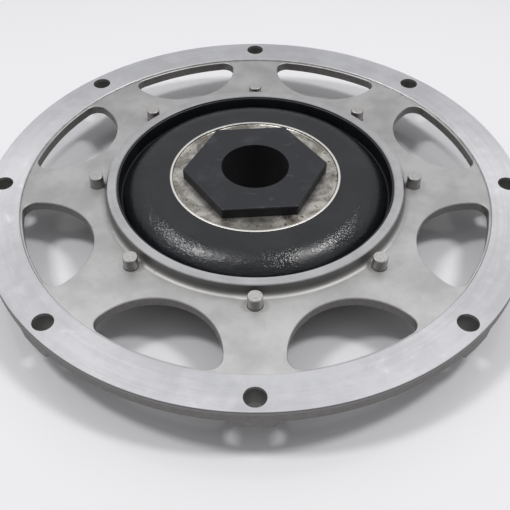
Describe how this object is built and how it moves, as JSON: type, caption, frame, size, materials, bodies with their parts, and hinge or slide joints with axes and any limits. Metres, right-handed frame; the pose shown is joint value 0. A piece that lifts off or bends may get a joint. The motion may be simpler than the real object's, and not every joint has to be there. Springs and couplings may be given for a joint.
{
  "type": "flexible disc coupling",
  "caption": "Flexible coupling: a windowed aluminium flywheel flange, a bonded rubber disc and a hexagon-headed hub with a plain bore.",
  "frame": {"origin": "on the shaft axis, in the plane of the hub's foot, the lowest face, which the part rests on", "axes": "+Z along the shaft axis, from the hub's foot to the hexagon head; the line through two opposite bolt holes lies along X and another along Y"},
  "size_m": [0.3524, 0.3524, 0.0491],
  "materials": {
    "cast_aluminium": "cast web, turned face and lip",
    "pin_steel": "ground, dull ends",
    "black_rubber": "moulded, half gloss",
    "bare_steel": "bare, with traces of rubber",
    "black_hub": "matt black"
  },
  "bodies": {
    "root": {"flange_ring": "cast_aluminium", "dowel_pin_1": "pin_steel", "dowel_pin_2": "pin_steel", "dowel_pin_3": "pin_steel", "dowel_pin_4": "pin_steel", "dowel_pin_5": "pin_steel", "dowel_pin_6": "pin_steel", "dowel_pin_7": "pin_steel", "dowel_pin_8": "pin_steel", "rubber_disc": "black_rubber", "hub_dish": "bare_steel", "hex_hub": "black_hub"}
  },
  "joints": []
}
